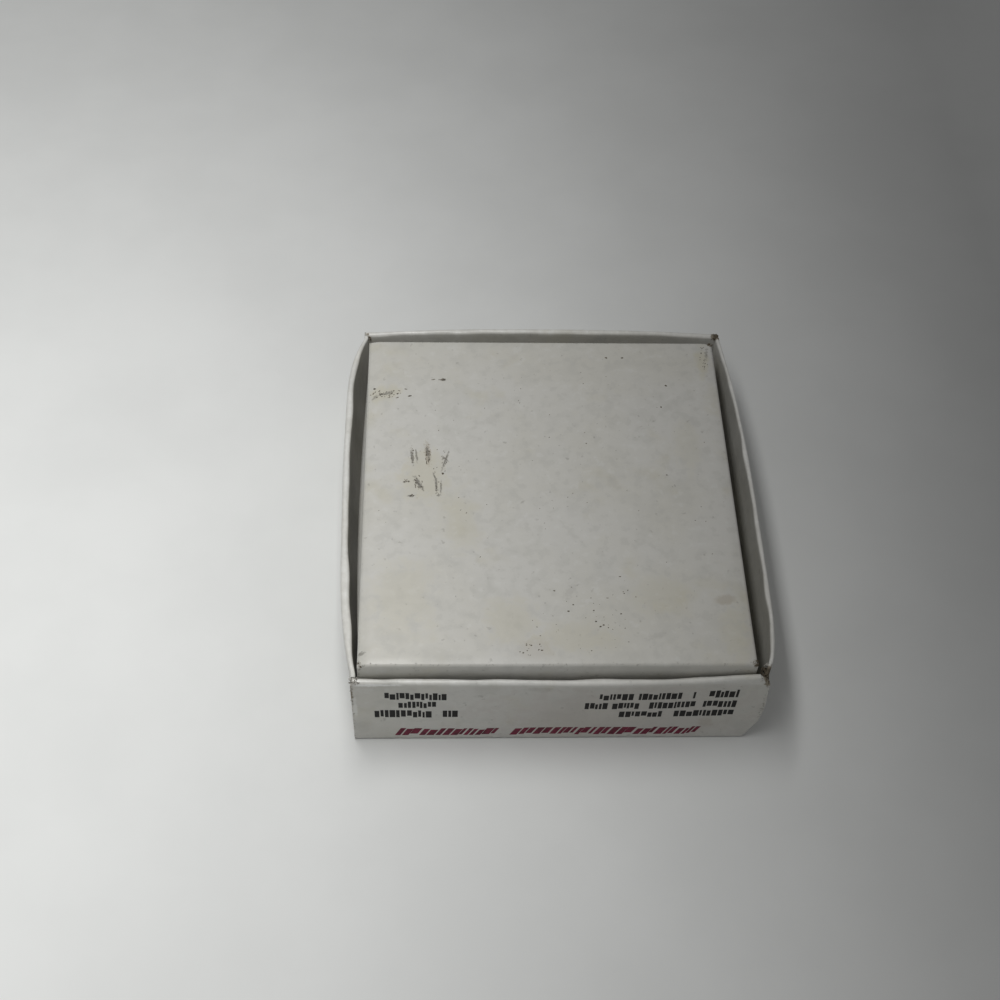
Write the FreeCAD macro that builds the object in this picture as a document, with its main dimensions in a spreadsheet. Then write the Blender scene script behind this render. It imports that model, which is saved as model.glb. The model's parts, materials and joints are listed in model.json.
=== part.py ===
"""A card box of microscope slides, lid underneath: the tray stands upside down in the lid.

Frame: +Z up, origin at the centre of the lid's underside, millimetres.  X runs along the slides,
Y along the stack, and the lid's printed wall faces -Y.

Lid and tray are each one sheet of card: a panel, four walls that fold up from it, a rolled rim on
every wall and an inner ply that comes back down.  The two side walls end in corner flaps, which
are tucked between the plies of the front and rear walls.
"""
import FreeCAD, Part
import math
import os
import Sketcher

V = FreeCAD.Vector
os.makedirs("parts", exist_ok=True)
doc = FreeCAD.newDocument("slide_box")

# ---------------------------------------------------------------- driving dimensions
SIZES = {
    # glass slides and the paper between them
    "slide_length": 76.2,
    "slide_width": 25.4,
    "slide_thickness": 1.1,
    "slide_count": 72,
    "ground_edge": 0.2,
    "paper_thickness": 0.04,
    "paper_inset": 0.3,
    "no_inset": 0.0,
    # card, and how its plies and flaps lie together
    "card": 0.4,
    "slit": 0.08,
    "foot_gap": 0.2,
    "flap_length": 12.0,
    "seat_gap": 0.03,
    "bay_sag": 0.06,
    # tray, round the slides
    "tray_end_play": 0.675,
    "tray_stack_play": 0.82,
    "tray_head_room": 0.87,
    "tray_fold_radius": 0.6,
    "tray_belly": 0.25,
    "tray_settle": 1.0,
    # lid, round the tray
    "lid_depth": 23.3,
    "lid_fold_radius": 0.8,
    "lid_belly": 1.0,
    "lid_settle": 0.0,
    "lid_front_play": 0.37,
    "lid_right_play": 1.965,
    "lid_rear_play": 5.17,
    "lid_left_play": 0.485,
    # the crushed foot of the lid's front right corner, along each of the edges that meet there
    "crush_across": 2.4,
    "crush_along": 9.0,
    "crush_up": 7.5,
    "crush_past": 3.0,
    "crush_spread": 1.6,
}

# Each wall: slack between its plies at the corners, more slack at the peak of its bow, the bow at
# the rim, where along the wall it peaks, and how full its curve is before and after the peak.
WALL_KEYS = ("slack", "spring", "bow", "peak", "fullness", "taper")
WALL_SIZES = {
    "tray_front": (0.0, 0.0, 0.0, 0.5, 2.2, 2.2),
    "tray_right": (0.15, 0.0, 0.3, 0.5, 2.2, 2.2),
    "tray_rear": (0.0, 0.0, 0.0, 0.5, 2.2, 2.2),
    "tray_left": (0.15, 0.0, 1.3, 0.5, 2.2, 2.2),
    "lid_front": (0.14, 0.1, 0.5, 0.5, 2.0, 2.0),
    "lid_right": (0.12, 0.1, 2.8, 0.35, 6.0, 3.6),
    "lid_rear": (0.0, 0.1, 1.45, 0.5, 3.0, 3.0),
    "lid_left": (0.15, 0.6, 3.6, 0.3, 4.0, 4.2),
}
for wall_name, values in WALL_SIZES.items():
    SIZES.update({f"{wall_name}_{key}": value for key, value in zip(WALL_KEYS, values)})

# The front and rear walls hold the corner flaps, so their plies stand further apart.
FORMULAS = {
    "flap_room": "=card + 2 * slit",
    "slide_pitch": "=slide_thickness + paper_thickness",
    "paper_count": "=slide_count - 1",
    "stack_length": "=slide_count * slide_thickness + paper_count * paper_thickness",
}
for part_name in ("tray", "lid"):
    FORMULAS[f"{part_name}_front_wall"] = f"=2 * card + flap_room + {part_name}_front_slack"
    FORMULAS[f"{part_name}_rear_wall"] = f"=2 * card + flap_room + {part_name}_rear_slack"
    FORMULAS[f"{part_name}_right_wall"] = f"=2 * card + {part_name}_right_slack"
    FORMULAS[f"{part_name}_left_wall"] = f"=2 * card + {part_name}_left_slack"
FORMULAS.update({
    "tray_across": "=slide_length + 2 * tray_end_play + tray_left_wall + tray_right_wall",
    "tray_along": "=stack_length + 2 * tray_stack_play + tray_front_wall + tray_rear_wall",
    "tray_height": "=slide_width + tray_head_room + card",
    "lid_left_room": "=lid_left_wall + lid_left_play",
    "lid_right_room": "=lid_right_wall + lid_right_play",
    "lid_front_room": "=lid_front_wall + lid_front_play",
    "lid_rear_room": "=lid_rear_wall + lid_rear_play",
    "lid_across": "=tray_across + lid_left_room + lid_right_room",
    "lid_along": "=tray_along + lid_front_room + lid_rear_room",
    "tray_x": "=(lid_left_room - lid_right_room) / 2",
    "tray_y": "=(lid_front_room - lid_rear_room) / 2",
    "tray_top": "=card + seat_gap + tray_height",
})

sheet = doc.addObject("Spreadsheet::Sheet", "Sizes")
for row, (alias, value) in enumerate((SIZES | FORMULAS).items(), start=1):
    sheet.set(f"A{row}", alias)
    sheet.set(f"B{row}", str(value))
    sheet.setAlias(f"B{row}", alias)
doc.recompute()


def size(alias):
    """One dimension, read from the sheet."""
    return float(sheet.get(alias))


# ---------------------------------------------------------------- the folded walls
def loft(section, runs):
    """A solid through the sections at these runs, straight from each one to the next."""
    return Part.makeLoft([section(run) for run in runs], True, True)


class Wall:
    """One double wall of the lid or the tray, in its own frame: panel below, mouth up.

    run goes along the wall from its start corner, depth goes inwards from the outer face, and
    level goes up from the underside of the panel.
    """

    INSIDE, OUTSIDE, BELOW = 0, 180, 270
    BELLY_STEPS = (0.0, 0.25, 0.5, 0.75)
    SETTLE_STEPS = (0.0, 0.25, 0.5, 0.75, 1.0)

    def __init__(self, part, side, start, along, outward, length, height, zone):
        self.start, self.along, self.outward = start, along, outward
        self.length, self.height, self.zone = length, height, zone
        self.card, self.slit = size("card"), size("slit")
        self.fold, self.settle = size(f"{part}_fold_radius"), size(f"{part}_settle")
        self.least = size(f"{part}_{side}_wall")
        self.spring, self.bow = size(f"{part}_{side}_spring"), size(f"{part}_{side}_bow")
        self.peak = size(f"{part}_{side}_peak")
        self.fullness, self.taper = size(f"{part}_{side}_fullness"), size(f"{part}_{side}_taper")
        brow = height - (self.least + self.spring) / 2
        self.knee = self.fold + (brow - self.fold) * size(f"{part}_belly")
        self.bays = max(2, math.ceil(math.pi / 2 * math.sqrt(self.bow / (2 * size("bay_sag")))))

    def swell(self, run):
        """How far the bow is developed at this run: 0 in the corner zones, 1 at the peak."""
        part = (run - self.zone) / (self.length - 2 * self.zone)
        if part <= 0 or part >= 1:
            return 0.0
        if part < self.peak:
            return 1 - ((self.peak - part) / self.peak) ** self.fullness
        return 1 - ((part - self.peak) / (1 - self.peak)) ** self.taper

    def rise(self, level):
        """How far the bow is developed at this level: 0 at the fold, 1 at the knee."""
        if level < self.knee:
            part = max(0.0, level - self.fold) / (self.knee - self.fold)
            return math.sin(math.pi / 2 * part)
        part = (level - self.knee) / (self.height - self.knee)
        return 1 - self.settle * (1 - math.cos(math.pi * part)) / 2

    def thickness(self, run):
        return self.least + self.spring * self.swell(run)

    def point(self, run, depth, level):
        out = self.bow * self.swell(run) * self.rise(level) - depth
        return self.start + self.along * run + self.outward * out + V(0, 0, level)

    def line(self, run, first, last):
        return Part.LineSegment(self.point(run, *first), self.point(run, *last)).toShape()

    def arc(self, run, centre, radius, first, last):
        """An arc in the section between two angles, in degrees from the inward direction."""
        angles = [math.radians(angle) for angle in (first, (first + last) / 2, last)]
        places = [(centre[0] + radius * math.cos(a), centre[1] + radius * math.sin(a)) for a in angles]
        return Part.Arc(*[self.point(run, *place) for place in places]).toShape()

    def ply(self, run, depth, first, last, spring=0.0):
        """One face of a ply, from one level to another, in short flats that belly out with the wall.

        An inner ply springs further inwards as the bow develops, and not at all at its foot.
        """
        low, high = min(first, last), max(first, last)
        levels = [low, high]
        if self.bow > 0:
            levels = [low + (self.knee - low) * step for step in self.BELLY_STEPS]
            if high - self.knee > self.card:
                levels += [self.knee + (high - self.knee) * step for step in self.SETTLE_STEPS]
            else:
                levels.append(high)
        if last < first:
            levels.reverse()
        places = [(depth + spring * self.rise(level), level) for level in levels]
        return [self.line(run, *ends) for ends in zip(places, places[1:])]

    def inside_of_rim(self, run, crown, radius):
        """The hollow of the rolled rim, or a sharp crease where the plies lie close together."""
        if self.least > 3 * self.card:
            return [self.arc(run, crown, radius, self.INSIDE, self.OUTSIDE)]
        crease = (crown[0], crown[1] + radius)
        near, far = (crown[0] - radius, crown[1]), (crown[0] + radius, crown[1])
        return [self.line(run, far, crease), self.line(run, crease, near)]

    def foot(self):
        """Where the inner ply ends, clear of the panel and of the inside of the bottom fold."""
        inside = self.fold - self.card
        near = self.fold - (self.least - self.card)
        lift = self.fold - math.sqrt(max(0.0, inside**2 - near**2)) if near > 0 else self.card
        return lift + size("foot_gap")

    def section(self, run):
        """The folded section: bottom fold, outer ply, rolled rim and inner ply."""
        card, fold, thick = self.card, self.fold, self.thickness(run)
        half, shoulder, foot = thick / 2, self.height - thick / 2, self.foot()
        crown = (half, shoulder)
        spring = thick - self.least
        sprung = self.least + spring * self.rise(foot)
        return Part.Wire([
            self.arc(run, (fold, fold), fold, self.BELOW, self.OUTSIDE),
            *self.ply(run, 0, fold, shoulder),
            self.arc(run, crown, half, self.OUTSIDE, self.INSIDE),
            *self.ply(run, self.least, shoulder, foot, spring),
            self.line(run, (sprung, foot), (sprung - card, foot)),
            *self.ply(run, self.least - card, foot, shoulder, spring),
            *self.inside_of_rim(run, crown, half - card),
            *self.ply(run, card, shoulder, fold),
            self.arc(run, (fold, fold), fold - card, self.OUTSIDE, self.BELOW),
            self.line(run, (fold, card), (fold, 0)),
        ])

    def stations(self):
        """The runs between which the bowed part of the wall goes straight."""
        start, span = self.zone, self.length - 2 * self.zone
        turns = [math.pi * bay / self.bays for bay in range(self.bays + 1)]
        return [start + span * (1 - math.cos(turn)) / 2 for turn in turns]

    def rolled(self, first, last):
        """The rolled wall from one run to another, bowed between its two straight ends."""
        return loft(self.section, [first, *self.stations(), last])

    def filled_section(self, run):
        """All that lies behind the middle of the outer ply, as deep as a flap is long."""
        fold, shoulder, reach = self.fold, self.height - self.thickness(run) / 2, size("flap_length")
        middle = self.card / 2
        return Part.Wire([
            self.arc(run, (fold, fold), fold - middle, self.BELOW, self.OUTSIDE),
            *self.ply(run, middle, fold, shoulder),
            self.line(run, (middle, shoulder), (reach, shoulder)),
            self.line(run, (reach, shoulder), (reach, middle)),
            self.line(run, (reach, middle), (fold, middle)),
        ])

    def filled(self, runs):
        return loft(self.filled_section, runs)

    def single_section(self, run, top):
        """The outer ply alone with its bottom fold, as it reaches into a corner."""
        card, fold = self.card, self.fold
        return Part.Wire([
            self.arc(run, (fold, fold), fold, self.BELOW, self.OUTSIDE),
            self.line(run, (0, fold), (0, top)),
            self.line(run, (0, top), (card, top)),
            self.line(run, (card, top), (card, fold)),
            self.arc(run, (fold, fold), fold - card, self.OUTSIDE, self.BELOW),
            self.line(run, (fold, card), (fold, 0)),
        ])

    def single(self, first, last, top):
        return loft(lambda run: self.single_section(run, top), [first, last])

    def flap_top(self):
        return self.height - 3 * self.card

    def flap_section(self, run):
        """A tucked corner flap, just behind the outer ply of this wall."""
        near, low, high = self.card + self.slit, self.fold + self.card, self.flap_top()
        far = near + self.card
        return Part.Wire([
            *self.ply(run, near, low, high),
            self.line(run, (near, high), (far, high)),
            *self.ply(run, far, high, low),
            self.line(run, (far, low), (near, low)),
        ])

    def flap(self, first, last):
        return loft(self.flap_section, [first, (first + last) / 2, last])

    def block(self, run, depth, level):
        """A straight box between pairs of runs, depths and levels."""
        corner = self.start + self.along * run[0] - self.outward * depth[0] + V(0, 0, level[0])
        far = self.start + self.along * run[1] - self.outward * depth[1] + V(0, 0, level[1])
        low = V(min(corner.x, far.x), min(corner.y, far.y), min(corner.z, far.z))
        spans = [abs(far[axis] - corner[axis]) for axis in range(3)]
        return Part.makeBox(*spans, low)


def walls_of(part, height):
    """The four walls of the lid or the tray, each starting at the next corner round."""
    across, along = size(f"{part}_across"), size(f"{part}_along")
    x, y = across / 2, along / 2
    places = {
        "front": (V(-x, -y, 0), V(1, 0, 0), V(0, -1, 0), across),
        "right": (V(x, -y, 0), V(0, 1, 0), V(1, 0, 0), along),
        "rear": (V(x, y, 0), V(-1, 0, 0), V(0, 1, 0), across),
        "left": (V(-x, y, 0), V(0, -1, 0), V(-1, 0, 0), along),
    }
    zone = max(size(f"{part}_{side}_wall") for side in places) + 2 * size("card")
    return {side: Wall(part, side, *place, height, zone) for side, place in places.items()}


def is_upright_at(edge, place):
    """True for the vertical edge that stands over a point in plan."""
    foot, head = (vertex.Point for vertex in edge.Vertexes)
    over_place = all(V(p.x, p.y, 0).isEqual(V(place.x, place.y, 0), 1e-6) for p in (foot, head))
    return over_place and abs(foot.z - head.z) > size("card")


def corner_fold(wall, run_end, inward):
    """The side wall's ply turning the corner behind this wall's outer ply, seen in plan."""
    card, near, reach = wall.card, wall.card + wall.slit, wall.zone
    band = (wall.fold + card, wall.flap_top())
    leg = wall.block((run_end, run_end + inward * reach), (near, near + card), band)
    side = wall.block((run_end, run_end + inward * card), (near, reach), band)
    turned = leg.fuse(side).removeSplitter()
    corner = wall.start + wall.along * run_end - wall.outward * near
    return turned.makeFillet(card, [edge for edge in turned.Edges if is_upright_at(edge, corner)])


def holding_wall(wall):
    """A front or rear wall: rolled nearly from corner to corner, its outer ply right across."""
    notch, length = wall.card + wall.slit, wall.length
    shoulder = wall.height - wall.least / 2
    return {
        "rolled": wall.rolled(notch, length - notch),
        "start": wall.single(0, notch, shoulder),
        "end": wall.single(length - notch, length, shoulder),
    }


def butted_wall(wall, first_depth, last_depth):
    """A side wall: its rolled part stands between the end walls, its outer ply reaches past."""
    first, last = first_depth + wall.slit, wall.length - last_depth - wall.slit
    near = wall.card + wall.slit
    return {
        "rolled": wall.rolled(first, last),
        "start": wall.single(near, first, wall.flap_top()),
        "end": wall.single(last, wall.length - near, wall.flap_top()),
    }


def tucked_flaps(wall):
    """The two corner flaps between a holding wall's plies, with the folds that carry them."""
    zone, reach, length = wall.zone, size("flap_length"), wall.length
    return {
        "start_flap": wall.flap(zone, reach),
        "start_fold": corner_fold(wall, 0, 1),
        "end_flap": wall.flap(length - reach, length - zone),
        "end_fold": corner_fold(wall, length, -1),
    }


def crushed_corner(walls):
    """What the lid's crushed front right foot takes away, and the card that lies across the cut."""
    card, past = size("card"), size("crush_past")
    front, right = walls["front"], walls["right"]
    inside = front.filled([*front.stations()[-2:], front.length + past])
    inside = inside.common(right.filled([-past, *right.stations()[:3]]))
    corner = right.start
    feet = [
        corner - front.along * size("crush_across"),
        corner + right.along * size("crush_along"),
        corner + V(0, 0, size("crush_up")),
    ]
    outward = (feet[1] - feet[0]).cross(feet[2] - feet[0]).normalize()
    if outward.dot(corner - feet[0]) < 0:
        outward = -outward
    middle = (feet[0] + feet[1] + feet[2]) / 3
    wide = [middle + (foot - middle) * size("crush_spread") for foot in feet]
    plane = Part.Face(Part.makePolygon([*wide, wide[0]]))
    return plane.extrude(outward * 2 * past), plane.extrude(-outward * card).common(inside)


def folded_card(part, height, crushed=False):
    """The lid or the tray: panel, walls and flaps, fused into one sheet named for its node."""
    walls = walls_of(part, height)
    panel = doc.addObject("Part::Box", f"{part}_panel")
    panel.setExpression("Length", f"Sizes.{part}_across - 2 * Sizes.{part}_fold_radius")
    panel.setExpression("Width", f"Sizes.{part}_along - 2 * Sizes.{part}_fold_radius")
    panel.setExpression("Height", "Sizes.card")
    panel.setExpression("Placement.Base.x", f"Sizes.{part}_fold_radius - Sizes.{part}_across / 2")
    panel.setExpression("Placement.Base.y", f"Sizes.{part}_fold_radius - Sizes.{part}_along / 2")
    pieces = {
        "front": holding_wall(walls["front"]) | tucked_flaps(walls["front"]),
        "rear": holding_wall(walls["rear"]) | tucked_flaps(walls["rear"]),
        "right": butted_wall(walls["right"], walls["front"].least, walls["rear"].least),
        "left": butted_wall(walls["left"], walls["rear"].least, walls["front"].least),
    }
    shapes = [panel]
    if crushed:
        removed, patch = crushed_corner(walls)
        corner = doc.addObject("Part::Feature", f"{part}_corner_off")
        corner.Shape = removed
        cut_panel = doc.addObject("Part::Cut", f"{part}_cut_panel")
        cut_panel.Base, cut_panel.Tool = panel, corner
        shapes = [cut_panel]
        for side in ("front", "right"):
            pieces[side] = {piece: solid.cut(removed) for piece, solid in pieces[side].items()}
        pieces["front"]["crushed"] = patch
    for side, solids in pieces.items():
        for piece, solid in solids.items():
            feature = doc.addObject("Part::Feature", f"{part}_{side}_{piece}")
            feature.Shape = solid
            shapes.append(feature)
    joined = doc.addObject("Part::MultiFuse", part)
    joined.Label = part
    joined.Shapes = shapes
    joined.Refine = True
    return joined


# ---------------------------------------------------------------- glass and paper
def plate_outline(body, inset):
    """The slide's outline less an inset, on the body's XZ plane, centred on X and standing on it."""
    sketch = body.newObject("Sketcher::SketchObject", f"{body.Name}_outline")
    plane = [item for item in body.Origin.OriginFeatures if item.Role == "XZ_Plane"]
    sketch.AttachmentSupport = [(plane[0], "")]
    sketch.MapMode = "FlatFace"
    half, top = size("slide_length") / 2 - size(inset), size("slide_width") - size(inset)
    corners = [V(-half, 0, 0), V(half, 0, 0), V(half, top, 0), V(-half, top, 0)]
    for first, last in zip(corners, corners[1:] + corners[:1]):
        sketch.addGeometry(Part.LineSegment(first, last), False)
    for line in range(4):
        sketch.addConstraint(Sketcher.Constraint("Coincident", line, 2, (line + 1) % 4, 1))
    sketch.addConstraint(Sketcher.Constraint("Horizontal", 2))
    sketch.addConstraint(Sketcher.Constraint("Vertical", 1))
    sketch.addConstraint(Sketcher.Constraint("Vertical", 3))
    sketch.addConstraint(Sketcher.Constraint("Symmetric", 0, 1, 0, 2, -2))
    sketch.addConstraint(Sketcher.Constraint("PointOnObject", 0, 1, -1))
    across = sketch.addConstraint(Sketcher.Constraint("DistanceX", 0, 1, 0, 2, 2 * half))
    upward = sketch.addConstraint(Sketcher.Constraint("DistanceY", 1, 1, 1, 2, top))
    sketch.setExpression(f"Constraints[{across}]", f"Sizes.slide_length - 2 * Sizes.{inset}")
    sketch.setExpression(f"Constraints[{upward}]", f"Sizes.slide_width - 2 * Sizes.{inset}")
    return sketch


def ground_edges(body, plate):
    """The bevels ground round both faces of a slide."""
    bevel = body.newObject("PartDesign::Chamfer", f"{body.Name}_ground")
    thickness = size("slide_thickness")
    round_faces = [
        f"Edge{index}" for index, edge in enumerate(plate.Shape.Edges, start=1)
        if edge.BoundBox.YLength < thickness / 2
    ]
    bevel.Base = (plate, round_faces)
    bevel.setExpression("Size", "Sizes.ground_edge")
    return bevel


def row_of_plates(name, thickness, count, inset, bevelled):
    """Identical plates standing in a row that runs towards -Y, one solid each."""
    body = doc.addObject("PartDesign::Body", name)
    body.Label = name
    body.AllowCompound = True
    sketch = plate_outline(body, inset)
    plate = body.newObject("PartDesign::Pad", f"{name}_plate")
    plate.Profile = sketch
    plate.setExpression("Length", f"Sizes.{thickness}")
    doc.recompute()
    last = ground_edges(body, plate) if bevelled else plate
    row = body.newObject("PartDesign::LinearPattern", f"{name}_row")
    row.Originals = [last]
    row.TransformMode = "Whole shape"
    row.Direction = (sketch, ["N_Axis"])
    row.Mode = "Spacing"
    row.setExpression("Offset", "Sizes.slide_pitch")
    row.setExpression("Occurrences", f"Sizes.{count}")
    body.Tip = row
    body.setExpression("Placement.Base.x", "Sizes.tray_x")
    return body


# ---------------------------------------------------------------- the box
lid = folded_card("lid", size("lid_depth"), crushed=True)

# The tray is folded like the lid, then turned over about X and stood on its rim in it.
tray = folded_card("tray", size("tray_height"))
tray.Placement.Rotation = FreeCAD.Rotation(V(1, 0, 0), 180)
tray.setExpression("Placement.Base.x", "Sizes.tray_x")
tray.setExpression("Placement.Base.y", "Sizes.tray_y")
tray.setExpression("Placement.Base.z", "Sizes.tray_top")

slides = row_of_plates("glass_slides", "slide_thickness", "slide_count", "no_inset", True)
slides.setExpression("Placement.Base.y", "Sizes.tray_y + Sizes.stack_length / 2")
slides.setExpression("Placement.Base.z", "Sizes.card")

papers = row_of_plates("separator_papers", "paper_thickness", "paper_count", "paper_inset", False)
papers.setExpression("Placement.Base.y", "Sizes.tray_y + Sizes.stack_length / 2 - Sizes.slide_thickness")
papers.setExpression("Placement.Base.z", "Sizes.card + Sizes.paper_inset")
doc.recompute()

for item in doc.Objects:
    if {"Invalid", "Error"} & set(item.State):
        raise RuntimeError(f"{item.Label} did not build: {item.State}")
for node in (lid, tray, slides, papers):
    if node.Shape.isNull() or not node.Shape.isValid():
        raise RuntimeError(f"{node.Label} is not a valid shape")
    node.Shape.exportStep(f"parts/{node.Label}.step")
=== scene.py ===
"""Looks for the card box of microscope slides: worn card, ink, dirt, glass, floor, light and camera."""

import json
import math

import bmesh
import bpy
import numpy as np
from mathutils import Matrix, Vector


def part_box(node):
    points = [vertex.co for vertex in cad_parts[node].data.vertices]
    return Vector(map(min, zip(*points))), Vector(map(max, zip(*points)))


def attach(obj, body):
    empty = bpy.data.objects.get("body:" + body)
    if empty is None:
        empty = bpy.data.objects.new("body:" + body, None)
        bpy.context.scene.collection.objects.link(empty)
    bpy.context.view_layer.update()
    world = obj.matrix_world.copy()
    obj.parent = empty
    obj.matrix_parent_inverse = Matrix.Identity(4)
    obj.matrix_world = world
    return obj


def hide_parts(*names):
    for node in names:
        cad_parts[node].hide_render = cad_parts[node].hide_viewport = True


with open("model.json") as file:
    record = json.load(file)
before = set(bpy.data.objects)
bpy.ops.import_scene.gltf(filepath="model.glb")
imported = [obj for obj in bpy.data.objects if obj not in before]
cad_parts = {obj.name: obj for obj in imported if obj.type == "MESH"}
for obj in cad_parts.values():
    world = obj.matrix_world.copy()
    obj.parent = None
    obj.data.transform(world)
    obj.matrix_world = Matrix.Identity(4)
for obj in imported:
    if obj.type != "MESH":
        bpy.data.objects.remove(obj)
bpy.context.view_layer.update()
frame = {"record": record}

MM = 0.001
TURNS = np.random.RandomState(72)

# ---------------------------------------------------------------- sizes, in millimetres
CARD = 0.4
SLIT = 0.08
FOOT_GAP = 0.2
FLAP_LENGTH = 12.0
MESH_PITCH = 0.7
WELD = 0.004
CLOSE = 1e-6

# Each wall: thickness at its corners, slack added at the peak of its bow, the bow itself, where it
# peaks, and how full its curve is before and after the peak.  They repeat the solids' own walls.
LID_WALLS = {
    "front": (1.50, 0.1, 0.5, 0.5, 2.0, 2.0),
    "right": (0.92, 0.1, 2.8, 0.35, 6.0, 3.6),
    "rear": (1.36, 0.1, 1.45, 0.5, 3.0, 3.0),
    "left": (0.95, 0.6, 3.6, 0.3, 4.0, 4.2),
}
TRAY_WALLS = {
    "front": (1.36, 0.0, 0.0, 0.5, 2.2, 2.2),
    "right": (0.95, 0.0, 0.3, 0.5, 2.2, 2.2),
    "rear": (1.36, 0.0, 0.0, 0.5, 2.2, 2.2),
    "left": (0.95, 0.0, 1.3, 0.5, 2.2, 2.2),
}


def node_box(node):
    """A CAD node's lowest and highest corners."""
    low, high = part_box(node)
    return np.array(low) / MM, np.array(high) / MM


def mount(name):
    """Where a mount of the record stands."""
    places = [m["pos_m"] for m in frame["record"]["mounts"] if m["name"] == name]
    return np.array(places[0]) / MM


# ---------------------------------------------------------------- mesh helpers
class Mesh:
    """Vertices in millimetres and faces, gathered grid by grid, with values such as wear at each vertex."""

    def __init__(self):
        self.points, self.faces, self.count = [], [], 0

    def grid(self, points, closed=False, ends=False, flip=False):
        """A grid of points, rows by columns; closed joins the last column to the first."""
        rows, columns = points.shape[:2]
        index = self.count + np.arange(rows * columns).reshape(rows, columns)
        self.points.append(points.reshape(-1, 3))
        self.count += rows * columns
        last = columns if closed else columns - 1
        for row in range(rows - 1):
            for column in range(last):
                after = (column + 1) % columns
                quad = (index[row, column], index[row, after], index[row + 1, after], index[row + 1, column])
                self.faces.append(quad[::-1] if flip else quad)
        if ends:
            first, final = tuple(index[0]), tuple(index[-1])
            self.faces.append(first if flip else first[::-1])
            self.faces.append(final[::-1] if flip else final)

    def polygon(self, points):
        """One face with these corners."""
        self.points.append(np.asarray(points, float))
        self.faces.append(tuple(range(self.count, self.count + len(points))))
        self.count += len(points)

    def build(self, name, weld=0.0, sharp=35.0, **layers):
        """The mesh as a piece; each layer is a function that gives every vertex its value."""
        points = np.vstack(self.points)
        mesh = bpy.data.meshes.new(name)
        mesh.from_pydata((points * MM).tolist(), [], [[int(i) for i in face] for face in self.faces])
        for title, value in layers.items():
            layer = mesh.attributes.new(title, "FLOAT", "POINT")
            layer.data.foreach_set("value", value(points).astype(np.float32))
        piece = bpy.data.objects.new(name, mesh)
        bpy.context.scene.collection.objects.link(piece)
        if weld:
            merge(mesh, weld * MM)
        mesh.polygons.foreach_set("use_smooth", [True] * len(mesh.polygons))
        mesh.set_sharp_from_angle(angle=math.radians(sharp))
        return piece


def merge(mesh, distance):
    """Weld the vertices of neighbouring grids."""
    work = bmesh.new()
    work.from_mesh(mesh)
    bmesh.ops.remove_doubles(work, verts=work.verts, dist=distance)
    work.to_mesh(mesh)
    work.free()


def smooth_step(low, high, value):
    """0 at low, 1 at high and beyond, with a smooth rise between them."""
    part = np.clip((np.asarray(value, float) - low) / (high - low), 0, 1)
    return part * part * (3 - 2 * part)


def bell(middle, reach, value):
    """1 at the middle, falling away on both sides of it over the reach."""
    return np.exp(-((value - middle) / reach) ** 2)


class Ripple:
    """A smooth random wave of about unit height over two lengths, from a few sines."""

    HEIGHT = 1.3

    def __init__(self, shortest, longest, stretch=1.0, count=7):
        turn = TURNS.uniform(0, 2 * np.pi, count)
        pitch = TURNS.uniform(shortest, longest, count)
        self.across = 2 * np.pi / pitch * np.cos(turn)
        self.up = 2 * np.pi / (pitch * stretch) * np.sin(turn)
        self.phase = TURNS.uniform(0, 2 * np.pi, count)

    def __call__(self, run, level=0.0):
        run, level = np.broadcast_arrays(np.asarray(run, float), np.asarray(level, float))
        angle = run[..., None] * self.across + level[..., None] * self.up + self.phase
        return np.sin(angle).sum(-1) * self.HEIGHT / len(self.phase)


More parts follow.
